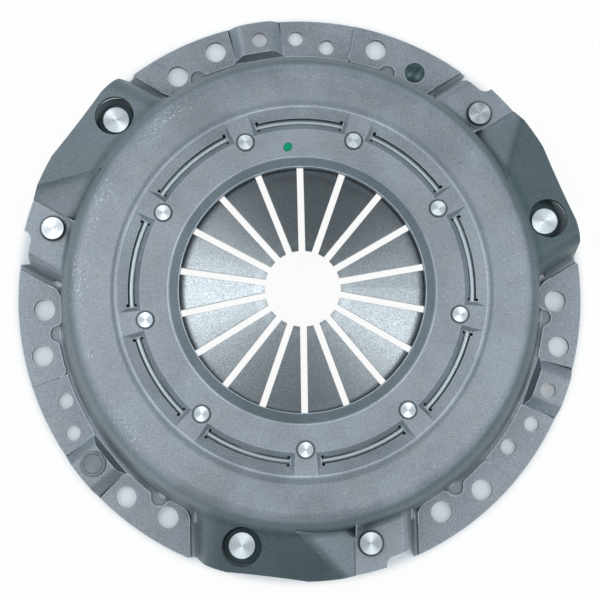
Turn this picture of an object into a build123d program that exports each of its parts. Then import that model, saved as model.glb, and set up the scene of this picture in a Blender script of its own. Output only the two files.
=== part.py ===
from build123d import *
import math
import os

# A push type clutch cover assembly for a 240 mm driven plate.
# The origin is the centre of the flange's mounting plane, +Z towards the gearbox.
# The pattern repeats three times: a mounting segment every 120 degrees and a strap bay between.

# Pressed steel cover, with widths counted inwards from the rim of the flange
sheet = 4.0
repeats = 3
flange_radius = 150.0
flange_width = 21.7
wall_lean = 6.3
shoulder_width = 26.0
fulcrum_inset = 8.7
rivet_land = 13.0
lip_width = 5.3
lip_rise = 2.8
dome_height = 42.0
step_drop = 1.8
dome_fall = 1.6
lip_bend = 4.0
step_bend = 1.0
shoulder_bend = 11.0
wall_blend = 3.0
roof_blend = 10.0
foot_blend = 2.5

# Mounting segments, with angles counted from the start of each 120 degree pattern
pad_border_angle = 77.6
ridge_start_angle = 93.2
ridge_end_angle = 104.2
valley_depth = 1.4
low_pad_drop = 0.6
pad_width = 19.5
pad_deep_width = 22.4
pad_wave_angle = 67.8
pad_wave_inset = 20.0
pad_wave_size = 4.5
pad_corner = 3.0
pad_bay_corner = 8.0
pad_margin = 0.6
ridge_rise = 3.7
ridge_wall = 5.8
ridge_bend = 6.0
ridge_end_run = 3.0

# Holes of a mounting segment
big_hole = 11.1
small_hole = 8.0
outer_hole_inset = 9.5
inner_hole_inset = 13.5
big_outer_angles = (72.0, 108.0)
big_inner_angles = (62.0, 118.0)
small_outer_angle = 90.0
small_inner_angle = 83.0
ridge_hole_angle = 98.0

# Strap bay, with angles counted from its own middle line
bay_middle_angle = 30.0
bay_start_angle = 22.8
bay_end_angle = 22.4
bay_start_lean = 6.0
bay_end_lean = 4.5
bay_drop = 10.5
bay_fall_angle = 12.0
bay_rim_inset = 1.7
bay_start_corner = 8.0
bay_corner = 4.0
strap_pad_drop = 9.5
strap_pad_reach = 8.7
fold_step = 0.6
crease_inner = -5.5
crease_outer = 18.5
rim_dip = 1.9
rim_dip_radius = 600.0
rim_dip_angle = 22.0
notch_radius = 5.0
notch_angle = 48.1
notch_depth = 4.4
corner_notch_radius = 6.0
corner_notch_depth = 1.6
relief_width = 2.0
relief_length = 7.0
relief_inset = 21.4
pad_slit_length = 4.5
pad_slit_width = 1.4

# Leaf straps and their rivets
strap_angle = 14.35
strap_inset = 16.0
strap_width = 18.0
leaf_thickness = 0.8
leaves = 3
access_hole = 20.6
cover_rivet_head = 12.0
plate_rivet_head = 14.0
strap_rivet_shank = 8.0
strap_rivet_head_height = 2.2
strap_rivet_foot = 12.5

# Diaphragm spring
fingers = 18
spring_thickness = 2.7
finger_tip_radius = 19.3
cone_angle = 11.3
finger_slot = 3.4
window_width = 10.0
window_inner_play = 0.8
window_outer_play = 0.6
window_corner = 2.5

# Pivot rings and shouldered rivets
ring_wire = 4.0
ring_play = 0.1
rivet_count = 9
rivet_phase_angle = 30.0
rivet_shoulder = 8.0
rivet_shank = 6.4
rivet_top_head = 8.2
rivet_top_height = 1.0
rivet_lower_head = 16.0
rivet_lower_height = 3.0
rivet_ring = 10.4
rivet_ring_depth = 0.3
slot_half_angle = 14.7
slot_width = 3.5
slot_end_width = 5.4
slot_end_length = 1.5
channel_inner_reach = 4.5
channel_outer_reach = 7.3
channel_depth = 2.6
channel_end_angle = 0.3
channel_end_taper_angle = 40.0

# Cast iron pressure plate
plate_face_rise = 1.0
plate_clearance = 2.5
plate_width = 44.0
plate_thickness = 17.0
plate_chamfer = 1.2
back_groove_inset = 9.0
back_groove_width = 14.0
back_groove_depth = 2.5
back_groove_blend = 2.0
nose_inset = 12.5
nose_radius = 2.5
nose_gaps = 9
nose_gap_width = 12.0
plate_gap = 0.3
lug_width = 25.0
lug_base = 5.0
lug_blend = 8.0

# Balance rivets
dark_rivet_dome = 1.6
dark_rivet_recess = 0.4
flat_rivet_head = 13.0
flat_rivet_height = 1.1
flat_rivet_foot = 9.0
flat_rivet_foot_height = 2.0
rivet_fit = 0.05

# Radii worked out from the rim inwards
ring_radius = ring_wire / 2
wall_foot_radius = flange_radius - flange_width
wall_top_radius = wall_foot_radius - wall_lean
step_radius = wall_top_radius - shoulder_width
fulcrum_radius = step_radius - fulcrum_inset
rivet_circle_radius = fulcrum_radius - ring_radius - rivet_shoulder / 2 - ring_play
lip_radius = rivet_circle_radius - rivet_land
bore_radius = lip_radius - lip_width
pad_inner_radius = flange_radius - pad_width
pad_deep_radius = flange_radius - pad_deep_width
pad_wave_circle = flange_radius - pad_wave_inset
outer_hole_radius = flange_radius - outer_hole_inset
inner_hole_radius = flange_radius - inner_hole_inset
slot_inner_radius = fulcrum_radius - slot_width / 2
slot_outer_radius = fulcrum_radius + slot_width / 2
channel_inner_radius = fulcrum_radius - channel_inner_reach
channel_outer_radius = fulcrum_radius + channel_outer_reach
window_inner_radius = rivet_circle_radius - rivet_shoulder / 2 - window_inner_play
window_outer_radius = rivet_circle_radius + rivet_shoulder / 2 + window_outer_play
plate_outer_radius = wall_top_radius - plate_clearance
plate_inner_radius = plate_outer_radius - plate_width
nose_circle_radius = plate_outer_radius - nose_inset
back_groove_outer = nose_circle_radius - back_groove_inset
back_groove_inner = back_groove_outer - back_groove_width
spring_radius = nose_circle_radius + nose_radius

# Strap bay, worked out across and along its middle line
bay_rim_radius = flange_radius - bay_rim_inset
bay_inner_reach = step_radius - sheet
bay_start_foot = -bay_rim_radius * math.sin(math.radians(bay_start_angle))
bay_start_top = bay_start_foot + bay_start_lean
bay_end_foot = bay_rim_radius * math.sin(math.radians(bay_end_angle))
bay_end_top = bay_end_foot - bay_end_lean
relief_radius = flange_radius - relief_inset
strap_circle_radius = flange_radius - strap_inset
strap_half_span = strap_circle_radius * math.sin(math.radians(strap_angle))
strap_line = strap_circle_radius * math.cos(math.radians(strap_angle))
strap_pad_edge = strap_half_span - strap_pad_reach
plate_rivet_angle = bay_middle_angle - strap_angle
cover_rivet_angle = bay_middle_angle + strap_angle

# Heights worked out from the top of the dome downwards
bay_rise = dome_height - bay_drop
bay_slope = math.tan(math.radians(bay_fall_angle))
strap_pad_rise = bay_rise - strap_pad_drop
strap_top = strap_pad_rise - sheet
lug_top = strap_top - leaves * leaf_thickness
lug_low = plate_face_rise + lug_base
cover_underside = dome_height - sheet
cone_slope = math.tan(math.radians(cone_angle))
cone_factor = math.sqrt(1 + cone_slope ** 2)
upper_ring_height = cover_underside - rivet_fit - ring_radius
fulcrum_height = upper_ring_height - ring_radius * cone_factor - ring_play
spring_depth = spring_thickness * cone_factor
lower_ring_height = fulcrum_height - spring_depth - ring_play - ring_radius * cone_factor
rivet_seat = lower_ring_height - ring_radius - rivet_fit
valley_top = sheet - valley_depth
ridge_top = sheet + ridge_rise

# Middle of the raised strip, and the middle between the two outer pads
ridge_angle = (ridge_start_angle + ridge_end_angle) / 2
pad_mirror_angle = (pad_border_angle + ridge_end_angle) / 2

# Reach of the bodies that cut, below the flange and beyond its rim
bay_base = -1.0
far = flange_radius * 1.2


def polar(radius, angle):
    """Point of the plan at a radius and an angle in degrees."""
    return (radius * math.cos(math.radians(angle)), radius * math.sin(math.radians(angle)))


def spun(shape, angle):
    """Copy turned about the axis of the clutch."""
    return Rot(0, 0, angle) * shape


def repeated(shape):
    """One copy of a shape for each 120 degree pattern."""
    return [spun(shape, 360 / repeats * index) for index in range(repeats)]


def block(face, low, high):
    """Plan outline raised from one height to another."""
    return Pos(0, 0, low) * extrude(face, high - low)


def post(diameter, place, low, high):
    """Upright cylinder between two heights."""
    return block(Pos(*place) * Circle(diameter / 2), low, high)


def sector(inner, outer, start, end):
    """Flat piece of a ring between two radii and two angles."""
    return make_face([
        CenterArc((0, 0), outer, start, end - start),
        Line(polar(outer, end), polar(inner, end)),
        CenterArc((0, 0), inner, start, end - start),
        Line(polar(inner, start), polar(outer, start)),
    ])


def turned(points):
    """Body of revolution from an outline of radius and height pairs."""
    return revolve(Plane.XZ * make_face(Polyline(*points, close=True)), Axis.Z)


def shifted(points, depth):
    """Open path moved sideways by the depth of the sheet, below or inside the first one."""
    lines = []
    for (x0, z0), (x1, z1) in zip(points, points[1:]):
        length = math.hypot(x1 - x0, z1 - z0)
        nx, nz = (z1 - z0) / length * depth, -(x1 - x0) / length * depth
        lines.append(((x0 + nx, z0 + nz), (x1 + nx, z1 + nz)))
    moved = [lines[0][0]]
    for ((ax, az), (bx, bz)), ((cx, cz), (dx, dz)) in zip(lines, lines[1:]):
        cross = (bx - ax) * (dz - cz) - (bz - az) * (dx - cx)
        along = ((cx - ax) * (dz - cz) - (cz - az) * (dx - cx)) / cross
        moved.append((ax + (bx - ax) * along, az + (bz - az) * along))
    return moved + [lines[-1][1]]


def dome_form(depth):
    """Everything under the dome's surface, or under its inner surface one sheet deeper."""
    path = [
        (bore_radius, dome_height + lip_rise),
        (lip_radius, dome_height),
        (step_radius, dome_height),
        (step_radius + step_drop, dome_height - step_drop),
        (wall_top_radius, dome_height - step_drop - dome_fall),
        (wall_foot_radius, 0.0),
    ]
    points = shifted(path, depth)
    radii = [lip_bend - depth / 2, step_bend, step_bend + (sheet - depth) / 2, shoulder_bend - depth]
    line = FilletPolyline(*points, radius=radii)
    first, last = points[0], points[-1]
    bore = shifted(path, sheet)[0][0]
    edges = list(line.edges())
    edges += [Line(last, (bore, last[1])), Line((bore, last[1]), first)]
    return revolve(Plane.XZ * make_face(edges), Axis.Z)


def bay_height(along):
    """Height of the sloping roof of a bay, along its middle line."""
    return bay_rise - bay_slope * (along - strap_line)


def bay_prism(path, depth, radii, slope=0.0):
    """Straight bay body under a path of across and height pairs, one sheet deeper if asked."""
    low = (bay_base if depth else 0.0) - slope * (far - bay_inner_reach)
    points = shifted(path, depth)
    ends = []
    for (x0, z0), (x1, z1) in ((points[0], points[1]), (points[-1], points[-2])):
        ends.append((x0 + (low - z0) * (x1 - x0) / (z1 - z0), low))
    line = FilletPolyline(ends[0], *points[1:-1], ends[1], radius=radii)
    face = make_face(list(line.edges()) + [Line(ends[1], ends[0])])
    reach = (far - bay_inner_reach) * math.sqrt(1 + slope ** 2)
    prism = extrude(Plane.YZ.offset(bay_inner_reach) * face, reach, dir=Vector(1, 0, -slope).normalized())
    return spun(Pos(0, 0, slope * (strap_line - bay_inner_reach)) * prism, bay_middle_angle)


def high_bay(depth):
    """Access hole side of a bay, before the ramp is cut."""
    edge = strap_pad_edge + depth
    path = [
        (bay_start_foot, sheet), (bay_start_top, bay_rise),
        (edge, bay_rise), (edge, sheet),
    ]
    return bay_prism(path, depth, [bay_start_corner - depth, bay_corner], bay_slope)


def low_bay(depth):
    """Strap pad side of a bay."""
    path = [
        (0.0, sheet), (0.0, strap_pad_rise),
        (bay_end_top, strap_pad_rise), (bay_end_foot, sheet),
    ]
    return bay_prism(path, depth, [bay_corner, bay_corner])


def ramp_cut(depth):
    """What lies above the twisted ramp between the diagonal crease and the strap pad."""
    slant = (crease_outer - crease_inner) / (bay_rim_radius - wall_top_radius)
    near_across = crease_inner + slant * (bay_inner_reach - wall_top_radius)
    far_across = crease_inner + slant * (far - wall_top_radius)
    top = dome_height + sheet
    high = bay_height(bay_inner_reach) - depth
    high_far = bay_height(far) - depth
    low = strap_pad_rise + fold_step - depth
    edge = strap_pad_edge + fold_step
    crease = Polyline(
        (bay_inner_reach, near_across, high), (far, far_across, high_far),
        (far, far_across, top), (bay_inner_reach, near_across, top), close=True)
    fold = Polyline(
        (bay_inner_reach, edge, low), (far, edge, low),
        (far, edge, top), (bay_inner_reach, edge, top), close=True)
    ramp = loft([make_face(crease), make_face(fold)], ruled=True)
    beyond = Pos(far / 2, edge, bay_base) * Box(
        2 * far, bay_inner_reach, 2 * far, align=(Align.CENTER, Align.MIN, Align.MIN))
    return spun(ramp + beyond, bay_middle_angle)


def ridge_form(depth):
    """Raised strip of the flange between two mounting pads, or the hollow beneath it."""
    half = flange_radius * math.radians(ridge_end_angle - ridge_start_angle) / 2
    low = bay_base if depth else 0.0
    points = shifted([
        (-half, valley_top), (ridge_wall - half, ridge_top),
        (half - ridge_wall, ridge_top), (half, valley_top)], depth)
    run = (points[1][0] - points[0][0]) / (points[1][1] - points[0][1])
    foot = points[0][0] - (points[0][1] - low) * run
    bend = ridge_bend - depth
    across = list(FilletPolyline((foot, low), *points[1:-1], (-foot, low), radius=bend).edges())
    strip = extrude(Plane.YZ * make_face(across + [Line((-foot, low), (foot, low))]), far)
    end = pad_inner_radius + ridge_end_run
    top = ridge_top - depth
    start = end if depth else pad_inner_radius - ridge_end_run * valley_top / (ridge_top - valley_top)
    side = Polyline((start, low), (end, top), (far, top), (far, low), close=True)
    return spun(strip & extrude(Plane.XZ * make_face(side), far, both=True), ridge_angle)


def pad_face(middle, limit):
    """Outline of a coined pad, with a wave between its two large holes and rounded inner corners."""
    face = sector(pad_deep_radius, far, middle, pad_wave_angle)
    face += sector(pad_inner_radius, far, pad_wave_angle, pad_border_angle)
    face -= Pos(*polar(pad_wave_circle, pad_wave_angle)) * Circle(pad_wave_size)
    wall = Pos(far, limit + foot_blend + pad_margin - far) * Rectangle(2 * far, 2 * far)
    face -= spun(wall, middle)
    corner = Vector(*polar(pad_deep_radius, middle + math.degrees(math.asin(limit / pad_deep_radius))))
    inner = face.vertices().filter_by(lambda v: v.center().length < flange_radius - pad_wave_size)
    face = fillet(inner.sort_by_distance(corner)[1:], pad_corner)
    return fillet(face.vertices().sort_by_distance(corner)[0], pad_bay_corner)


def pad_faces():
    """Plan outlines of the three flat pads of a segment with the height of each top face."""
    first = pad_face(bay_middle_angle, bay_end_foot)
    far_middle = 2 * pad_mirror_angle - bay_middle_angle - 360 / repeats
    last = spun(mirror(pad_face(far_middle, -bay_start_foot), Plane.XZ), 2 * pad_mirror_angle)
    between = sector(pad_inner_radius, far, pad_border_angle, ridge_start_angle)
    corner = between.vertices().sort_by_distance(Vector(*polar(pad_inner_radius, ridge_start_angle)))[0]
    return [(first, sheet), (last, sheet), (fillet(corner, pad_corner), sheet - low_pad_drop)]


def welded(body, additions, radius, low):
    """Bodies joined with a rounded inner corner along the outer seams above a height."""
    joined = body + additions
    seams = []
    for edge in new_edges(body, *additions, combined=joined):
        middle = edge.position_at(0.5)
        if edge.center().Z > low and math.hypot(middle.X, middle.Y) > bay_inner_reach:
            seams.append(edge)
    return fillet(seams, radius)


def cover_form():
    """Outer form of the pressing, filled underneath."""
    dome = dome_form(0)
    low = welded(dome, repeated(low_bay(0)), wall_blend, wall_blend / 2)
    high = welded(dome, repeated(high_bay(0)), roof_blend, wall_blend / 2)
    shell = low + (high - [cut - dome for cut in repeated(ramp_cut(0))])
    flange = [block(Circle(flange_radius) - Circle(bay_inner_reach), 0, valley_top)]
    return welded(shell, flange, foot_blend, valley_top - foot_blend / 2)


def rim_cuts():
    """Plan outlines cut from the rim of a strap bay."""
    start = bay_middle_angle + math.degrees(math.asin(bay_start_foot / bay_rim_radius))
    end = bay_middle_angle + math.degrees(math.asin(bay_end_foot / bay_rim_radius))
    cuts = [sector(bay_rim_radius, far, start, end)]
    cuts.append(sector(bay_rim_radius - notch_depth, far, notch_angle, end))
    for radius, angle, depth, edge in (
            (rim_dip_radius, rim_dip_angle, rim_dip, bay_rim_radius),
            (notch_radius, notch_angle, notch_depth, bay_rim_radius),
            (corner_notch_radius, start, corner_notch_depth, flange_radius)):
        cuts.append(Pos(*polar(edge - depth + radius, angle)) * Circle(radius))
    return cuts


def reliefs():
    """Plan outlines of the small open slits where the walls of a bay meet the flange."""
    slits = []
    for across in (bay_start_foot, bay_end_foot):
        along = math.sqrt(relief_radius ** 2 - across ** 2)
        slit = SlotOverall(relief_length, relief_width)
        slits.append(spun(Pos(along, across) * slit, bay_middle_angle))
    for angle in (pad_wave_angle, 2 * pad_mirror_angle - pad_wave_angle):
        slit = SlotOverall(pad_slit_length, pad_slit_width, rotation=angle + 90)
        slits.append(Pos(*polar(wall_foot_radius, angle)) * slit)
    return slits


def flange_holes():
    """Plan outlines of the bolt, dowel and access holes of one 120 degree pattern."""
    places = [(big_hole, outer_hole_radius, angle) for angle in big_outer_angles]
    places += [(big_hole, inner_hole_radius, angle) for angle in big_inner_angles]
    places += [(small_hole, outer_hole_radius, small_outer_angle)]
    places += [(small_hole, outer_hole_radius, ridge_hole_angle)]
    places += [(small_hole, inner_hole_radius, small_inner_angle)]
    places += [(access_hole, strap_circle_radius, plate_rivet_angle)]
    places += [(strap_rivet_shank + 2 * rivet_fit, strap_circle_radius, cover_rivet_angle)]
    return [Pos(*polar(radius, angle)) * Circle(size / 2) for size, radius, angle in places]


def ring_window(angle):
    """Plan outline of a curved slot with wider ends, over the upper pivot ring."""
    start, end = angle - slot_half_angle, angle + slot_half_angle
    middle = (slot_inner_radius + slot_outer_radius) / 2
    wide = math.degrees(slot_end_length / middle)
    inner, outer = middle - slot_end_width / 2, middle + slot_end_width / 2
    face = sector(slot_inner_radius, slot_outer_radius, start, end)
    return face + sector(inner, outer, start, start + wide) + sector(inner, outer, end - wide, end)


def rivet_angles():
    """Angles of the shouldered rivets."""
    return [rivet_phase_angle + 360 / rivet_count * index for index in range(rivet_count)]


def dome_cuts():
    """Slots with their pressed channels and the coined rings and holes of the shouldered rivets."""
    channel = turned([
        (channel_inner_radius, dome_height), (slot_inner_radius, dome_height - channel_depth),
        (slot_outer_radius, dome_height - channel_depth), (channel_outer_radius, dome_height),
        (channel_outer_radius, dome_height + sheet), (channel_inner_radius, dome_height + sheet)])
    cuts = []
    for angle in rivet_angles():
        between = angle + 180 / rivet_count
        span = slot_half_angle + channel_end_angle
        zone = sector(bore_radius, wall_top_radius, between - span, between + span)
        zone = extrude(zone, channel_depth + sheet, taper=-channel_end_taper_angle)
        cuts.append(channel & Pos(0, 0, dome_height - channel_depth) * zone)
        cuts.append(block(ring_window(between), cover_underside - sheet, dome_height + sheet))
        place = polar(rivet_circle_radius, angle)
        hole = rivet_shank + 2 * rivet_fit
        cuts.append(post(hole, place, cover_underside - sheet, dome_height + sheet))
        ring = Circle(rivet_ring / 2) - Circle(rivet_top_head / 2)
        cuts.append(block(Pos(*place) * ring, dome_height - rivet_ring_depth, dome_height + sheet))
    return cuts


def cover_cuts():
    """Everything pressed up from below, coined or pierced in the cover."""
    rim = Circle(2 * far) - Circle(flange_radius)
    cuts = [dome_form(sheet), block(rim, bay_base, dome_height),
            block(Circle(2 * far), -far, 0)]
    for shape in (high_bay(sheet) - ramp_cut(sheet), low_bay(sheet), ridge_form(sheet)):
        cuts += repeated(shape)
    for face in rim_cuts() + reliefs() + flange_holes():
        cuts += repeated(block(face, bay_base, dome_height))
    return cuts + dome_cuts()


def build_cover():
    """Pressed cover with its strap bays, mounting pads and slotted top."""
    raised = repeated(ridge_form(0))
    for face, top in pad_faces():
        raised += repeated(block(face, valley_top / 2, top))
    return cover_form() + raised - cover_cuts()


def spring_height(radius):
    """Height of the diaphragm spring's upper surface."""
    return fulcrum_height + cone_slope * (fulcrum_radius - radius)


def build_spring():
    """Slotted conical diaphragm spring with windows for the shouldered rivets."""
    inner, outer = finger_tip_radius, spring_radius
    disc = turned([
        (inner, spring_height(inner)), (outer, spring_height(outer)),
        (outer, spring_height(outer) - spring_depth), (inner, spring_height(inner) - spring_depth)])
    length = window_outer_radius - window_inner_radius
    middle = (window_outer_radius + window_inner_radius) / 2
    window = Pos(middle, 0) * RectangleRounded(length, window_width, window_corner)
    window += Pos(middle / 2, 0) * Rectangle(middle, finger_slot)
    cut = block(window, 0, 2 * dome_height)
    return disc - [spun(cut, rivet_phase_angle + 360 / fingers * index) for index in range(fingers)]


def build_ring(height):
    """Round wire pivot ring."""
    return Pos(0, 0, height) * Torus(fulcrum_radius, ring_radius)


def rivet(steps):
    """Rivet turned from a list of radius, lower height and upper height."""
    outline = []
    for radius, low, high in steps:
        outline += [(radius, low), (radius, high)]
    return turned([(0, steps[0][1])] + outline + [(0, steps[-1][2])])


def build_spacer_rivet():
    """Shouldered rivet that holds both pivot rings to the cover."""
    return rivet([
        (rivet_lower_head / 2, rivet_seat - rivet_lower_height, rivet_seat),
        (rivet_shoulder / 2, rivet_seat, cover_underside),
        (rivet_shank / 2, cover_underside, dome_height),
        (rivet_top_head / 2, dome_height, dome_height + rivet_top_height)])


def build_cover_rivet():
    """Rivet that holds the leaf pack to the underside of the cover."""
    return rivet([
        (strap_rivet_foot / 2, lug_top - strap_rivet_head_height, lug_top),
        (strap_rivet_shank / 2, lug_top, strap_pad_rise),
        (cover_rivet_head / 2, strap_pad_rise, strap_pad_rise + strap_rivet_head_height)])


def build_plate_rivet():
    """Rivet that holds the leaf pack to a lug of the pressure plate."""
    return rivet([
        (strap_rivet_foot / 2, lug_low - strap_rivet_head_height, lug_low),
        (strap_rivet_shank / 2, lug_low, strap_top),
        (plate_rivet_head / 2, strap_top, strap_top + strap_rivet_head_height)])


def build_leaf(index):
    """One leaf of the strap pack across the first bay."""
    face = Pos(strap_line, 0) * SlotCenterToCenter(2 * strap_half_span, strap_width, rotation=90)
    for across in (-strap_half_span, strap_half_span):
        face -= Pos(strap_line, across) * Circle(strap_rivet_shank / 2 + rivet_fit)
    low = lug_top + index * leaf_thickness
    return spun(block(face, low, low + leaf_thickness), bay_middle_angle)


def plate_ring():
    """Ring of the pressure plate with its broken nose and the groove in its back."""
    back = plate_face_rise + plate_thickness
    edge = plate_chamfer
    ring = turned([
        (plate_inner_radius + edge, plate_face_rise), (plate_outer_radius - edge, plate_face_rise),
        (plate_outer_radius, plate_face_rise + edge), (plate_outer_radius, back - edge),
        (plate_outer_radius - edge, back), (back_groove_outer + back_groove_blend, back),
        (back_groove_outer, back - back_groove_depth), (back_groove_inner, back - back_groove_depth),
        (back_groove_inner - back_groove_blend, back), (plate_inner_radius + edge, back),
        (plate_inner_radius, back - edge), (plate_inner_radius, plate_face_rise + edge)])
    contact = spring_height(nose_circle_radius) - spring_depth
    centre = contact - (nose_radius + plate_gap) * cone_factor
    rise = centre - back + edge
    profile = Pos(nose_circle_radius, centre) * Circle(nose_radius)
    profile += Pos(nose_circle_radius, centre - rise / 2) * Rectangle(2 * nose_radius, rise)
    nose = revolve(Plane.XZ * profile, Axis.Z)
    gap = block(Pos(nose_circle_radius, 0) * Rectangle(4 * nose_radius, nose_gap_width), back, dome_height)
    turns = [rivet_phase_angle + 360 / nose_gaps * index for index in range(nose_gaps)]
    return ring + (nose - [spun(gap, turn) for turn in turns])


def lug_face():
    """Plan outline of the three lugs, blended into a ring inside the rim of the plate."""
    inner = back_groove_outer + back_groove_blend
    rim = plate_outer_radius - plate_chamfer
    length = strap_circle_radius - inner
    lug = Pos(inner + length / 2, 0) * Rectangle(length, lug_width)
    lug += Pos(strap_circle_radius, 0) * Circle(lug_width / 2)
    outline = Circle(rim) - Circle(inner) + repeated(lug)
    corners = outline.vertices().filter_by(lambda v: abs(v.center().length - rim) < plate_chamfer)
    return fillet(corners, lug_blend)


def build_plate():
    """Cast iron pressure plate with three strap lugs."""
    lugs = block(lug_face(), lug_low, lug_top)
    hole = post(strap_rivet_shank + 2 * rivet_fit, (strap_circle_radius, 0), 0, dome_height)
    return plate_ring() + spun(lugs - repeated(hole), plate_rivet_angle)


def build_domed_rivet():
    """Dark balance rivet with a domed top, set in a bolt hole."""
    radius = big_hole / 2 - rivet_fit
    top = sheet + dark_rivet_dome
    ball = (radius ** 2 + dark_rivet_dome ** 2) / (2 * dark_rivet_dome)
    middle = (radius / 2, top - ball + math.sqrt(ball ** 2 - radius ** 2 / 4))
    edges = [
        Line((0, dark_rivet_recess), (radius, dark_rivet_recess)),
        Line((radius, dark_rivet_recess), (radius, sheet)),
        ThreePointArc((radius, sheet), middle, (0, top)),
        Line((0, top), (0, dark_rivet_recess)),
    ]
    place = polar(inner_hole_radius, big_inner_angles[0])
    return Pos(*place) * revolve(Plane.XZ * make_face(edges), Axis.Z)


def build_flat_rivet():
    """Flat balance rivet through the hole of the second raised strip."""
    low = ridge_top - sheet
    shape = rivet([
        (flat_rivet_foot / 2, low - flat_rivet_foot_height, low),
        (small_hole / 2 - rivet_fit, low, ridge_top),
        (flat_rivet_head / 2, ridge_top, ridge_top + flat_rivet_height)])
    return Pos(*polar(outer_hole_radius, ridge_hole_angle + 360 / repeats)) * shape


def build_nodes():
    """Every separate piece by name."""
    nodes = {
        "cover": build_cover(),
        "pressure_plate": build_plate(),
        "diaphragm_spring": build_spring(),
        "upper_pivot_ring": build_ring(upper_ring_height),
        "lower_pivot_ring": build_ring(lower_ring_height),
        "balance_rivet_domed": build_domed_rivet(),
        "balance_rivet_flat": build_flat_rivet(),
    }
    for index, angle in enumerate(rivet_angles()):
        place = polar(rivet_circle_radius, angle)
        nodes[f"spacer_rivet_{index + 1}"] = Pos(*place) * build_spacer_rivet()
    cover_rivet = Pos(*polar(strap_circle_radius, cover_rivet_angle)) * build_cover_rivet()
    plate_rivet = Pos(*polar(strap_circle_radius, plate_rivet_angle)) * build_plate_rivet()
    for index in range(repeats):
        turn = 360 / repeats * index
        nodes[f"cover_strap_rivet_{index + 1}"] = spun(cover_rivet, turn)
        nodes[f"plate_strap_rivet_{index + 1}"] = spun(plate_rivet, turn)
        for leaf in range(leaves):
            nodes[f"strap_{index + 1}_leaf_{leaf + 1}"] = spun(build_leaf(leaf), turn)
    return nodes


os.makedirs("parts", exist_ok=True)
for name, shape in build_nodes().items():
    export_step(shape, f"parts/{name}.step")
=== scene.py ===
import math
import random

import bmesh
import bpy
from mathutils import Matrix, Vector


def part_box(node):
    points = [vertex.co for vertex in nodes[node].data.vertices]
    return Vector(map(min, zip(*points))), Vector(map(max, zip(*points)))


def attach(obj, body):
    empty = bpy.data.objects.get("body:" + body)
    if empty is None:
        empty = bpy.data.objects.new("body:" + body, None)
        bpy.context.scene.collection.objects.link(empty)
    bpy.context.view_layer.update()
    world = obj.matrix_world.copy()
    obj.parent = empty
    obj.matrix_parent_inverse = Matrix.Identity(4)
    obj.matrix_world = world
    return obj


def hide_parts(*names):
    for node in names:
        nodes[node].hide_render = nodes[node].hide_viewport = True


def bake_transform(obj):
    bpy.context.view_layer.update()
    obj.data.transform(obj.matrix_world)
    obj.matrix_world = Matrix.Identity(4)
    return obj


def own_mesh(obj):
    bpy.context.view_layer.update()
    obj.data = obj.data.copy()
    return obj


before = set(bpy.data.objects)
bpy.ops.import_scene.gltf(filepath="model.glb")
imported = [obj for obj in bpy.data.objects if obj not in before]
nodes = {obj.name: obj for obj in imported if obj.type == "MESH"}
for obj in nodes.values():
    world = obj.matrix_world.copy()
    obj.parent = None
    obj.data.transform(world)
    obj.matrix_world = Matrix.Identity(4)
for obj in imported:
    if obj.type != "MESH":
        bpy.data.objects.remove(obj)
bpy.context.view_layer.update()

# Camera, found from the rivets and holes that the photograph shows
camera_place = Vector((-0.0213, -0.0767, 0.8262))
camera_target = Vector((-0.0003, -0.0015, 0.0))
camera_roll = math.radians(-1.13)
focal_length = 92.9
sensor_width = 36.0

# Sizes of the part that pieces and finishes follow, in metres and degrees
repeat_count = 3
repeat_angle = 360.0 / repeat_count
bay_middle_angle = 30.0
bay_start_edge = -0.0575
bay_foot = 0.006
bay_roof = 0.012
crease_middle = 0.0065
crease_lean = 0.9
strap_angle = 14.35
strap_circle = 0.134
strap_pad_edge = 0.0245
strap_width = 0.018
leaf_count = 3
leaf_thickness = 0.0008
leaf_edge = 0.00015
leaf_strips = 24
leaf_tip_step = 9
lug_top = 0.0156
strip_middle_angle = 98.0
strip_half_width = 0.020
strip_end = 0.1225
strip_height = 0.008
bore_radius = 0.0629
lip_radius = 0.0682
slot_circle = 0.0873
slot_floor = 0.0390
step_radius = 0.096
wall_radius = 0.1215
rivet_count = 9
rivet_repeat = 360.0 / rivet_count
rivet_phase = 30.0
rivet_circle = 0.0812
spacer_head = 0.0041
cover_head = 0.006
plate_head = 0.007
friction_height = 0.00115
nose_height = 0.0252

# Bands of the finishes: where each starts, is full, starts to fade and ends
# The wall and lip bands hold painted shade; the flange band holds painted highlights on edges.
wall_shade_band = (0.1165, 0.1195, 0.1245, 0.1275)
flange_band = (0.121, 0.123, 0.134, 0.136)
scuff_band = (0.107, 0.112, 0.116, 0.119)
lip_shade_band = (bore_radius, bore_radius + 0.0006, lip_radius - 0.0006, lip_radius)
fingertip_band = (0.0205, 0.0215, 0.0240, 0.0255)
pressed_band = (0.0046, 0.0050, 0.0052, 0.0056)
flange_shade_band = (0.100, 0.124, 0.146, 0.156)

# Soft rings: middle radius and half width
# The two rivet rings hold painted shade around the rivet heads.
strap_rivet_shade_ring = (0.0064, 0.0010)
spacer_rivet_shade_ring = (0.0044, 0.0006)
# The crest rings hold painted highlights.
step_crest_highlight = (step_radius - 0.0013, 0.0006)
lip_crest_highlight = (lip_radius + 0.0004, 0.0005)
slot_ring = (slot_circle, 0.0045)

# Depths of the relief that the finishes have
faint_relief = 0.00001
fine_relief = 0.00003
cast_relief = 0.00004
paint_relief = 0.00005

# Dab of paint
paint_circle = 0.0739
paint_angle = 94.7
paint_size = 0.0023
paint_thickness = 0.00008
paint_corners = 20
paint_seed = 4

white = (1.0, 1.0, 1.0, 1.0)
mauve = (0.37, 0.36, 0.39, 1.0)
deep_green = (0.0, 0.22, 0.10, 1.0)
bright_green = (0.0, 0.36, 0.18, 1.0)
floor_colour = (0.82, 0.88, 0.91, 1.0)
card_colour = (0.02, 0.02, 0.02, 1.0)
horizon_colour = (0.46, 0.56, 0.62, 1.0)
overhead_colour = (0.86, 0.90, 0.95, 1.0)


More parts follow.
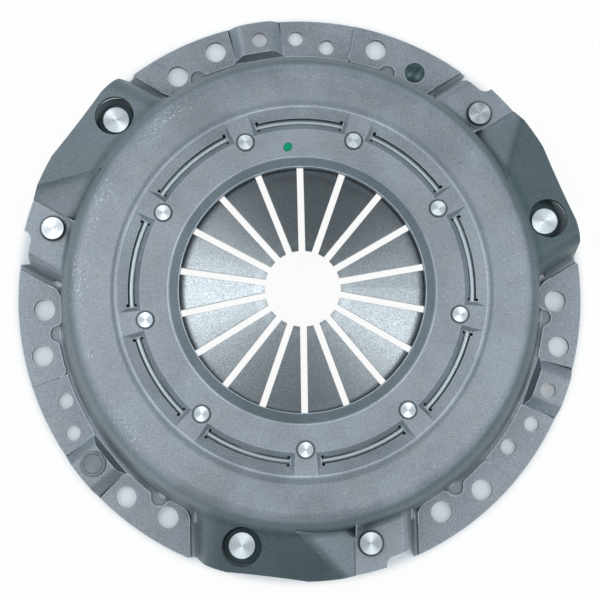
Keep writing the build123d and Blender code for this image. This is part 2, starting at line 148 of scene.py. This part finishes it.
def turned(point, degrees):
    """Point turned about the axis of the clutch."""
    return Matrix.Rotation(math.radians(degrees), 3, "Z") @ Vector(point)


class Finish:
    """Material with short calls for the nodes that it is made of."""

    def __init__(self, name, **surface):
        self.material = bpy.data.materials.new(name)
        self.material.use_nodes = True
        self.tree = self.material.node_tree
        self.surface = self.tree.nodes["Principled BSDF"]
        self.place = self.add("TexCoord").outputs["Object"]
        for socket, value in surface.items():
            self.put(self.surface.inputs[socket], value)

    def put(self, socket, value):
        """Value or link into a socket."""
        if isinstance(value, bpy.types.NodeSocket):
            self.tree.links.new(value, socket)
        else:
            socket.default_value = value

    def add(self, kind, inputs=None, **settings):
        """Shader node with its settings and inputs."""
        node = self.tree.nodes.new("ShaderNode" + kind)
        for name, value in settings.items():
            setattr(node, name, value)
        for name, value in (inputs or {}).items():
            self.put(node.inputs[name], value)
        return node

    def calc(self, operation, first, second=0.0):
        """Result of a sum on one or two values."""
        return self.add("Math", {0: first, 1: second}, operation=operation).outputs[0]

    def product(self, first, *others):
        """Product of several values."""
        for other in others:
            first = self.calc("MULTIPLY", first, other)
        return first

    def ease(self, value, low, high, start=0.0, end=1.0):
        """Value eased from start to end between two limits."""
        inputs = {"Value": value, "From Min": low, "From Max": high, "To Min": start, "To Max": end}
        return self.add("MapRange", inputs, interpolation_type="SMOOTHSTEP").outputs[0]

    def band(self, value, start, full, fading, end):
        """Share that rises between the first two limits and falls between the last two."""
        return self.product(self.ease(value, start, full), self.ease(value, end, fading))

    def ring(self, value, middle, half):
        """Soft line, 1 at its middle value and 0 where it is half its width away."""
        off = self.calc("ABSOLUTE", self.calc("SUBTRACT", value, middle))
        return self.ease(off, half, 0.0)

    def blend(self, share, first, second, how="MIX"):
        """Two colours mixed by a share."""
        node = self.add("Mix", data_type="RGBA", blend_type=how, clamp_factor=True)
        self.put(node.inputs["Factor"], share)
        self.put(node.inputs[6], first)
        self.put(node.inputs[7], second)
        return node.outputs[2]

    def layered(self, base, *layers):
        """Base colour under layers, each given as a share and a colour."""
        for share, colour in layers:
            base = self.blend(share, base, colour)
        return base

    def noise(self, scale, detail=3.0, place=None):
        """Cloudy noise between 0 and 1, with its scale per metre."""
        inputs = {"Vector": place or self.place, "Scale": scale, "Detail": detail}
        return self.add("TexNoise", inputs).outputs[0]

    def streaks(self, detail, axes):
        """Noise stretched along its axes, where each has a value and the scale of that value."""
        inputs = {axis: self.product(value, scale) for axis, (value, scale) in axes.items()}
        return self.noise(1.0, detail, self.add("CombineXYZ", inputs).outputs[0])

    def polar(self):
        """Radius, angle in radians and height of the shaded point."""
        across, along, height = self.add("SeparateXYZ", {0: self.place}).outputs
        return self.distance(across, along), self.calc("ARCTAN2", along, across), height

    def local(self, pattern, middle, circle):
        """Place across and along a middle line that repeats around the axis."""
        radius, angle, _ = self.polar()
        step = math.radians(pattern)
        start = self.calc("SUBTRACT", angle, math.radians(middle) - step / 2 - 4 * math.pi)
        turn = self.calc("SUBTRACT", self.calc("MODULO", start, step), step / 2)
        along = self.calc("SUBTRACT", self.product(radius, self.calc("COSINE", turn)), circle)
        return self.product(radius, self.calc("SINE", turn)), along

    def distance(self, across, along):
        """Distance of a place from the middle, seen from above."""
        flat = self.add("CombineXYZ", {0: across, 1: along}).outputs[0]
        return self.add("VectorMath", {0: flat}, operation="LENGTH").outputs["Value"]

    def rounding(self, radius):
        """Normal that is rounded over sharp edges."""
        return self.add("Bevel", {"Radius": radius}, samples=6).outputs[0]

    def bump(self, height, depth, normal=None):
        """Surface relief of a depth in metres."""
        inputs = {"Height": height, "Distance": depth, "Strength": 1.0}
        if normal:
            inputs["Normal"] = normal
        return self.add("Bump", inputs).outputs[0]

    def edge_share(self, normal, low, high):
        """Share near sharp edges, from the rounded normal, where highlights are painted."""
        true = self.add("NewGeometry").outputs["Normal"]
        dot = self.add("VectorMath", {0: normal, 1: true}, operation="DOT_PRODUCT").outputs["Value"]
        return self.ease(dot, high, low)

    def openness(self, reach):
        """How open the shaded point is, 0 deep in a corner and 1 in the open."""
        return self.add("AmbientOcclusion", {"Distance": reach}, samples=8).outputs["AO"]

    def done(self, colour, normal, roughness=None):
        """Finished material with its colour and relief, and its roughness where that varies."""
        self.put(self.surface.inputs["Base Color"], colour)
        self.put(self.surface.inputs["Normal"], normal)
        if roughness:
            self.put(self.surface.inputs["Roughness"], roughness)
        return self.material


def grey(level, warm=0.0):
    """Slightly blue grey of a linear level, as RGBA."""
    return (level * (0.86 + warm), level * (0.95 + warm / 2), level, 1.0)


def phosphate(level):
    """Blue grey of the phosphated cover, as RGBA."""
    return (level * 0.84, level * 0.92, level, 1.0)


def teal(level):
    """Dark green blue, as RGBA, for painted shade on the cover and for the dark steel parts."""
    return (level * 0.62, level * 0.95, level, 1.0)


def inside_bays(f, radius, height, across):
    """Share of the strap bays, from the dome's wall outwards and up to the strap pads."""
    return f.product(
        f.ease(radius, wall_radius - 0.001, wall_radius + 0.003),
        f.ease(height, bay_foot, bay_roof),
        f.ease(across, strap_pad_edge + 0.001, strap_pad_edge),
        f.ease(across, bay_start_edge - 0.005, bay_start_edge))


def bay_painted_shade(f, across, along, left):
    """Painted shade of the strap bays, weaker beyond the crease and on the lit left side."""
    crease = f.calc("ADD", f.product(along, crease_lean), crease_middle)
    past_crease = f.calc("SUBTRACT", across, crease)
    return f.product(f.ease(past_crease, 0.0, 0.006, 0.85, 0.35), f.ease(left, 0.0, 1.0, 1.0, 0.65))


def strip_feet(f, height):
    """Share of the inner ends of the raised strips."""
    across, along = f.local(repeat_angle, strip_middle_angle, strip_end)
    off = f.calc("ABSOLUTE", across)
    return f.product(
        f.ease(off, strip_half_width + 0.001, strip_half_width - 0.001),
        f.ease(along, -0.005, -0.004),
        f.ease(height, strip_height + 0.003, strip_height))


def rivet_foot_shade(f):
    """Painted shade in rings around the feet of the cover's rivet heads."""
    strap_seat = f.distance(*f.local(repeat_angle, bay_middle_angle + strap_angle, strap_circle))
    spacer_seat = f.distance(*f.local(rivet_repeat, rivet_phase, rivet_circle))
    return f.calc("MAXIMUM", f.ring(strap_seat, *strap_rivet_shade_ring),
                  f.ring(spacer_seat, *spacer_rivet_shade_ring))


def painted_edge_highlights(f, radius, cloud, near, in_bay):
    """Painted highlights on edges, most on the flange and the bore, and on the crests of step and
    lip.
    """
    share = f.calc("MAXIMUM", f.band(radius, *flange_band), f.ease(radius, 0.066, 0.064, 0.3, 0.9))
    share = f.product(share, f.calc("SUBTRACT", 1.0, in_bay))
    edge = f.product(f.edge_share(f.rounding(0.0007), 0.96, 0.999), f.ease(near, 0.2, 0.35), share)
    crest = f.calc("MAXIMUM", f.ring(radius, *step_crest_highlight), f.ring(radius, *lip_crest_highlight))
    return f.calc("MAXIMUM", edge, f.product(crest, f.ease(cloud, 0.35, 0.65, 0.25, 0.6)))


def scuffs(f, radius, angle, left):
    """Patches of fine scratches and flecks on the dome's shoulder, most on the left."""
    scratch = f.streaks(3.0, {0: (radius, 1300.0), 1: (angle, 45.0)})
    patches = f.ease(f.noise(30.0, 2.0), 0.42, 0.58)
    flecks = f.calc("MAXIMUM", f.ease(scratch, 0.62, 0.68),
                    f.ease(f.noise(800.0, 4.0), 0.64, 0.70))
    return f.product(f.band(radius, *scuff_band), patches, flecks,
                     f.ease(left, 0.0, 1.0, 0.35, 1.0))


def cover_steel():
    """Phosphated pressed steel with scuffs, painted shade in hollows, bays, wall foot, lip and
    round rivets, and painted highlights on edges.
    """
    f = Finish("cover_steel", Metallic=0.6)
    radius, angle, height = f.polar()
    across, along = f.local(repeat_angle, bay_middle_angle, strap_circle)
    # The left side, where the stronger lamp falls; the painted shade of bays and wall is weaker
    # there.
    left = f.ease(f.calc("COSINE", angle), -0.2, -0.6)
    cloud = f.noise(38.0, 4.0)
    grain = f.noise(1900.0)
    speck = f.noise(620.0, 2.0)
    # Openness of each point, from which shade is painted into the hollows.
    near = f.openness(0.004)
    wide = f.openness(0.018)
    in_bay = inside_bays(f, radius, height, across)
    below_floor = f.ease(height, slot_floor + 0.0006, slot_floor)
    in_slot = f.product(f.ring(radius, *slot_ring), below_floor)
    # Share of the painted hollow shade that is kept: little at the strips' feet and in the slots.
    shading = f.ease(f.calc("MAXIMUM", strip_feet(f, height), in_slot), 0.0, 1.0, 1.0, 0.1)
    # Painted shade at the foot of the dome's wall, weaker on the lit left side, and on the lip.
    wall = f.product(f.band(radius, *wall_shade_band), shading, f.ease(left, 0.0, 1.0, 0.62, 0.38))
    lip = f.product(f.band(radius, *lip_shade_band), 0.5)
    base = f.layered(
        f.blend(f.ease(cloud, 0.3, 0.7), phosphate(0.33), phosphate(0.43)),
        (f.ease(f.noise(55.0), 0.45, 0.7, 0.0, 0.3), mauve),
        # Painted shade over the strap bays.
        (f.product(in_bay, bay_painted_shade(f, across, along, left)), teal(0.125)),
        # Painted shade on the wall foot and the lip.
        (f.calc("MAXIMUM", wall, lip), teal(0.13)))
    lively = f.ease(grain, 0.3, 0.7, 0.78, 1.22)
    grainy = f.add("CombineColor", {0: lively, 1: lively, 2: lively}).outputs[0]
    base = f.layered(
        f.blend(1.0, base, grainy, "MULTIPLY"),
        # Painted shade in the hollows, from how open each point is.
        (f.product(f.ease(wide, 0.7, 0.25, 0.0, 0.65), shading), teal(0.08)),
        (f.product(f.ease(near, 0.5, 0.15, 0.0, 0.6), shading), teal(0.04)),
        (f.ease(f.openness(0.0008), 0.92, 0.6, 0.0, 0.75), teal(0.05)),
        # Light teal tint on the slot walls, where most of the painted hollow shade is left out.
        (f.product(in_slot, 0.9), teal(0.5)),
        # Painted shade around the feet of the rivet heads.
        (f.product(rivet_foot_shade(f), 0.75), teal(0.04)),
        # Painted highlights on edges and crests.
        (f.product(painted_edge_highlights(f, radius, cloud, near, in_bay),
                   f.ease(speck, 0.3, 0.6, 0.6, 0.95)), phosphate(1.0)),
        (f.product(scuffs(f, radius, angle, left), 0.9), grey(1.0)))
    relief = f.calc("ADD", f.product(grain, 0.5), speck)
    return f.done(base, f.bump(relief, fine_relief), f.ease(cloud, 0.2, 0.8, 0.46, 0.58))


def spring_steel():
    """Shot peened spring steel with a fine sparkle and polished fingertips."""
    f = Finish("spring_steel", Metallic=1.0)
    grain = f.noise(2100.0, 2.0)
    radius, _, _ = f.polar()
    base = f.layered(
        f.blend(f.ease(grain, 0.3, 0.7), grey(0.25), grey(0.48)),
        (f.ease(f.noise(1300.0, 2.0), 0.5, 0.72, 0.0, 0.5), grey(0.62)),
        (f.ease(f.noise(60.0), 0.35, 0.7, 0.0, 0.35), grey(0.36)),
        (f.product(f.band(radius, *fingertip_band), 0.25), grey(0.60)))
    normal = f.bump(grain, fine_relief, f.rounding(0.0003))
    return f.done(base, normal, f.ease(grain, 0.3, 0.7, 0.40, 0.29))


def ring_wire():
    """Drawn round wire with faint drawing lines."""
    f = Finish("ring_wire", Metallic=0.8, Roughness=0.42)
    radius, _, height = f.polar()
    drawn = f.streaks(2.0, {0: (radius, 4000.0), 2: (height, 4000.0)})
    return f.done(f.blend(drawn, grey(0.50), grey(0.70)), f.bump(drawn, faint_relief))


def turned_face(name, pattern, middle, circle, head, level):
    """Bright plated rivet with the fine rings of its riveting tool, and painted shade on the rim of
    its head.
    """
    f = Finish(name, Metallic=1.0, Anisotropic=0.85)
    out = f.distance(*f.local(pattern, middle, circle))
    rings = f.streaks(3.0, {0: (out, 3200.0)})
    base = f.layered(
        grey(level, 0.04),
        (f.ease(rings, 0.3, 0.7, 0.0, 0.5), grey(level * 0.8, 0.03)),
        # Painted shade: a near black teal ring on the rim of the head.
        (f.ease(out, head - 0.0005, head - 0.0001, 0.0, 0.9), teal(level * 0.15)))
    tangent = f.add("Tangent", direction_type="RADIAL", axis="Z").outputs[0]
    f.put(f.surface.inputs["Tangent"], tangent)
    normal = f.bump(rings, faint_relief, f.rounding(0.0005))
    return f.done(base, normal, f.ease(rings, 0.3, 0.7, 0.26, 0.36))


def cast_iron():
    """Rough cast back with a ground friction face and a machined nose."""
    f = Finish("cast_iron", Metallic=0.85)
    radius, angle, height = f.polar()
    rings = f.streaks(2.0, {0: (radius, 2600.0), 1: (angle, 3.0)})
    ground = f.ease(height, friction_height + 0.0001, friction_height)
    machined = f.calc("MAXIMUM", ground, f.ease(height, nose_height - 0.0003, nose_height))
    cast = f.blend(f.ease(f.noise(50.0, 4.0), 0.3, 0.7), grey(0.15), grey(0.22))
    cut = f.blend(rings, grey(0.34, 0.03), grey(0.50, 0.03))
    lumps = f.product(f.noise(700.0, 5.0), f.ease(machined, 0.0, 1.0, 4.0, 0.1))
    normal = f.bump(f.calc("ADD", lumps, rings), cast_relief, f.rounding(0.0006))
    return f.done(f.blend(machined, cast, cut), normal, f.ease(machined, 0.0, 1.0, 0.66, 0.34))


def strap_steel():
    """Rolled spring strip with fine lines, painted very dark for the shade it lies in under the
    cover.
    """
    f = Finish("strap_steel", Metallic=1.0)
    across, along = f.local(repeat_angle, bay_middle_angle, strap_circle)
    rolled = f.streaks(2.0, {0: (along, 3000.0), 1: (across, 120.0)})
    # Painted shade: the strip's colour is kept near black for the shade under the cover.
    base = f.blend(rolled, teal(0.06), teal(0.11))
    return f.done(base, f.bump(rolled, faint_relief), f.ease(rolled, 0.3, 0.7, 0.34, 0.46))


def dark_steel():
    """Blackened steel of the domed balance rivet."""
    f = Finish("dark_rivet", Metallic=0.8)
    cloud = f.noise(420.0)
    base = f.blend(f.ease(cloud, 0.35, 0.7), teal(0.10), teal(0.16))
    return f.done(base, f.bump(cloud, fine_relief), f.ease(cloud, 0.3, 0.7, 0.34, 0.42))


def grey_steel(middle):
    """Grey steel of the flat balance rivet, with a dark ring pressed near its edge."""
    f = Finish("grey_rivet", Metallic=0.7, Roughness=0.5)
    offset = f.add("VectorMath", {0: f.place, 1: middle}, operation="SUBTRACT").outputs[0]
    across, along, _ = f.add("SeparateXYZ", {0: offset}).outputs
    base = f.layered(
        grey(0.24),
        (f.ease(f.noise(260.0), 0.35, 0.7), grey(0.30)),
        (f.product(f.band(f.distance(across, along), *pressed_band), 0.6), teal(0.05)))
    return f.done(base, f.bump(f.noise(1500.0), cast_relief, f.rounding(0.0004)))


def green_paint():
    """Green inspection paint."""
    f = Finish("green_paint", Roughness=0.6, **{"Specular IOR Level": 0.15})
    cloud = f.noise(900.0)
    return f.done(f.blend(cloud, deep_green, bright_green), f.bump(cloud, paint_relief))


def dress(names, material):
    """Gives a finish to carried over nodes."""
    for name in names:
        nodes[name].data.materials.clear()
        nodes[name].data.materials.append(material)


def numbered(name, count):
    """Names of a numbered family of nodes."""
    return [f"{name}_{index + 1}" for index in range(count)]


def mesh_piece(name, form, material):
    """Object made of a finished bmesh."""
    data = bpy.data.meshes.new(name)
    form.to_mesh(data)
    form.free()
    data.materials.append(material)
    piece = bpy.data.objects.new(name, data)
    bpy.context.scene.collection.objects.link(piece)
    return piece


def bevelled(piece, width):
    """Rounds the edges of a piece for good."""
    modifier = piece.modifiers.new("edges", "BEVEL")
    modifier.width = width
    modifier.segments = 2
    modifier.limit_method = "ANGLE"
    modifier.angle_limit = math.radians(35)
    graph = bpy.context.evaluated_depsgraph_get()
    data = bpy.data.meshes.new_from_object(piece.evaluated_get(graph))
    piece.modifiers.clear()
    piece.data = data
    return piece


def spring_piece(material):
    """Diaphragm spring with its finish, carried by the diaphragm's body in place of the model's
    part.
    """
    piece = nodes["diaphragm_spring"].copy()
    piece.data = piece.data.copy()
    piece.name = "diaphragm"
    piece.parent = None
    for key in list(piece.keys()):
        del piece[key]
    bpy.context.scene.collection.objects.link(piece)
    piece.data.materials.clear()
    piece.data.materials.append(material)
    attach(piece, "diaphragm_body")
    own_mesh(piece)
    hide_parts("diaphragm_spring")


def leaf_piece(name, low, degrees, material):
    """Leaf of a strap pack with round ends, in enough strips to bend."""
    half = strap_circle * math.sin(math.radians(strap_angle))
    line = strap_circle * math.cos(math.radians(strap_angle))
    end = strap_width / 2
    stations = [-half - end * math.cos(math.radians(turn))
                for turn in range(leaf_tip_step - 1, 90, leaf_tip_step)]
    stations += [-half + 2 * half * step / leaf_strips for step in range(leaf_strips + 1)]
    stations += [half + end * math.sin(math.radians(turn))
                 for turn in range(leaf_tip_step, 90, leaf_tip_step)]
    high = low + leaf_thickness
    form = bmesh.new()
    rows = []
    for across in stations:
        past = max(0.0, abs(across) - half)
        width = math.sqrt(max(end ** 2 - past ** 2, 1e-10))
        rows.append([
            form.verts.new(turned((line + side * width, across, height), degrees))
            for side, height in ((-1, low), (1, low), (1, high), (-1, high))
        ])
    for first, second in zip(rows, rows[1:]):
        for index in range(4):
            other = (index + 1) % 4
            form.faces.new((first[index], first[other], second[other], second[index]))
    form.faces.new(rows[0][::-1])
    form.faces.new(rows[-1])
    bmesh.ops.recalc_face_normals(form, faces=form.faces)
    piece = bevelled(mesh_piece(name + "_strip", form, material), leaf_edge)
    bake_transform(piece)
    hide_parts(name)


def paint_mark(material):
    """Dab of green inspection paint beside a rivet, with an uneven outline."""
    draw = random.Random(paint_seed)
    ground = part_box("spacer_rivet_1")[1].z - 0.001
    centre = turned((paint_circle, 0.0, ground), paint_angle)
    form = bmesh.new()
    outer = []
    inner = []
    for index in range(paint_corners):
        angle = 2 * math.pi * index / paint_corners
        size = paint_size * (1 + 0.12 * math.sin(2 * angle) + draw.uniform(-0.06, 0.06))
        ray = Vector((math.cos(angle), math.sin(angle), 0))
        outer.append(form.verts.new(centre + ray * size))
        inner.append(form.verts.new(centre + ray * size * 0.7 + Vector((0, 0, paint_thickness))))
    for index in range(paint_corners):
        other = (index + 1) % paint_corners
        form.faces.new((outer[index], outer[other], inner[other], inner[index]))
    form.faces.new(inner)
    form.faces.new(outer[::-1])
    piece = mesh_piece("paint_mark", form, material)
    for face in piece.data.polygons:
        face.use_smooth = True
    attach(piece, "cover_body")


def pale_floor():
    """Plain white floor that keeps a soft shadow, deepest under the flange."""
    bpy.ops.mesh.primitive_plane_add(size=24.0, location=(0, 0, -0.0001))
    floor = bpy.context.object
    floor.name = "floor"
    f = Finish("floor_paper", Roughness=0.9)
    f.put(f.surface.inputs["Base Color"], floor_colour)
    radius, _, _ = f.polar()
    shine = f.ease(f.band(radius, *flange_shade_band), 0.0, 1.0, 0.94, 0.2)
    path = f.add("LightPath").outputs
    seen = f.calc("MAXIMUM", path["Is Camera Ray"], path["Is Glossy Ray"])
    seen = f.calc("MAXIMUM", seen, path["Is Transmission Ray"])
    glow = f.add("Emission", {"Color": white, "Strength": 1.0}).outputs[0]
    mix = f.add("MixShader", {0: f.product(seen, shine), 1: f.surface.outputs[0], 2: glow})
    f.put(f.tree.nodes["Material Output"].inputs["Surface"], mix.outputs[0])
    floor.data.materials.append(f.material)


def world_light():
    """Pale surroundings, lighter overhead than at the horizon."""
    world = bpy.data.worlds.new("studio")
    bpy.context.scene.world = world
    world.use_nodes = True
    tree = world.node_tree
    split = tree.nodes.new("ShaderNodeSeparateXYZ")
    rise = tree.nodes.new("ShaderNodeMapRange")
    colour = tree.nodes.new("ShaderNodeMix")
    colour.data_type = "RGBA"
    rise.inputs["From Min"].default_value = 0.3
    rise.inputs["From Max"].default_value = 0.97
    colour.inputs[6].default_value = horizon_colour
    colour.inputs[7].default_value = overhead_colour
    place = tree.nodes.new("ShaderNodeTexCoord").outputs["Generated"]
    tree.links.new(place, split.inputs[0])
    tree.links.new(split.outputs[2], rise.inputs["Value"])
    tree.links.new(rise.outputs[0], colour.inputs["Factor"])
    tree.links.new(colour.outputs[2], tree.nodes["Background"].inputs["Color"])


def facing_part(item, axis, place):
    """Places a lamp or card of the studio, with one of its axes turned to the part."""
    item.location = place
    item.rotation_euler = (-Vector(place)).to_track_quat(axis, "Y").to_euler()


def soft_box(name, place, size, power):
    """Rectangular studio lamp."""
    lamp = bpy.data.lights.new(name, "AREA")
    lamp.shape = "RECTANGLE"
    lamp.size, lamp.size_y = size
    lamp.energy = power
    holder = bpy.data.objects.new(name, lamp)
    bpy.context.scene.collection.objects.link(holder)
    facing_part(holder, "-Z", place)


def dark_card(name, place, size):
    """Dark studio card that only metal reflects."""
    form = bmesh.new()
    bmesh.ops.create_grid(form, x_segments=1, y_segments=1, size=0.5)
    f = Finish("card", Roughness=1.0)
    f.put(f.surface.inputs["Base Color"], card_colour)
    card = mesh_piece(name, form, f.material)
    card.scale = (*size, 1.0)
    card.visible_camera = False
    card.visible_diffuse = False
    card.visible_shadow = False
    facing_part(card, "Z", place)


def place_camera():
    """Camera at the angle of the photograph."""
    camera = bpy.data.cameras.new("camera")
    camera.lens = focal_length
    camera.sensor_width = sensor_width
    holder = bpy.data.objects.new("camera", camera)
    back = (camera_place - camera_target).normalized()
    side = Vector((0, 1, 0)).cross(back).normalized()
    turn = Matrix((side, back.cross(side), back)).transposed()
    roll = Matrix.Rotation(camera_roll, 3, "Z")
    holder.matrix_world = Matrix.Translation(camera_place) @ (turn @ roll).to_4x4()
    bpy.context.scene.collection.objects.link(holder)
    bpy.context.scene.camera = holder


strap = strap_steel()
dress(["cover"], cover_steel())
dress(["pressure_plate"], cast_iron())
dress(["upper_pivot_ring", "lower_pivot_ring"], ring_wire())
dress(numbered("spacer_rivet", rivet_count), turned_face(
    "inner_rivet", rivet_repeat, rivet_phase, rivet_circle, spacer_head, 0.86))
dress(numbered("cover_strap_rivet", repeat_count), turned_face(
    "cover_rivet", repeat_angle, bay_middle_angle + strap_angle, strap_circle, cover_head, 0.74))
dress(numbered("plate_strap_rivet", repeat_count), turned_face(
    "plate_rivet", repeat_angle, bay_middle_angle - strap_angle, strap_circle, plate_head, 0.86))
dress(["balance_rivet_domed"], dark_steel())
low_corner, high_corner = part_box("balance_rivet_flat")
dress(["balance_rivet_flat"], grey_steel((low_corner + high_corner) / 2))
spring_piece(spring_steel())
for bay in range(repeat_count):
    for leaf in range(leaf_count):
        leaf_piece(f"strap_{bay + 1}_leaf_{leaf + 1}", lug_top + leaf * leaf_thickness,
                   bay_middle_angle + repeat_angle * bay, strap)
paint_mark(green_paint())
pale_floor()
world_light()
soft_box("left_box", (-0.44, 0.06, 0.80), (0.32, 0.40), 1.3)
soft_box("right_box", (0.44, -0.10, 0.80), (0.30, 0.36), 0.95)
dark_card("upper_card", (0.08, 0.47, 0.72), (0.8, 0.44))
dark_card("lower_card", (0.0, -0.52, 0.66), (1.1, 0.56))
place_camera()

bpy.context.scene.view_settings.view_transform = "Standard"
bpy.context.view_layer.update()
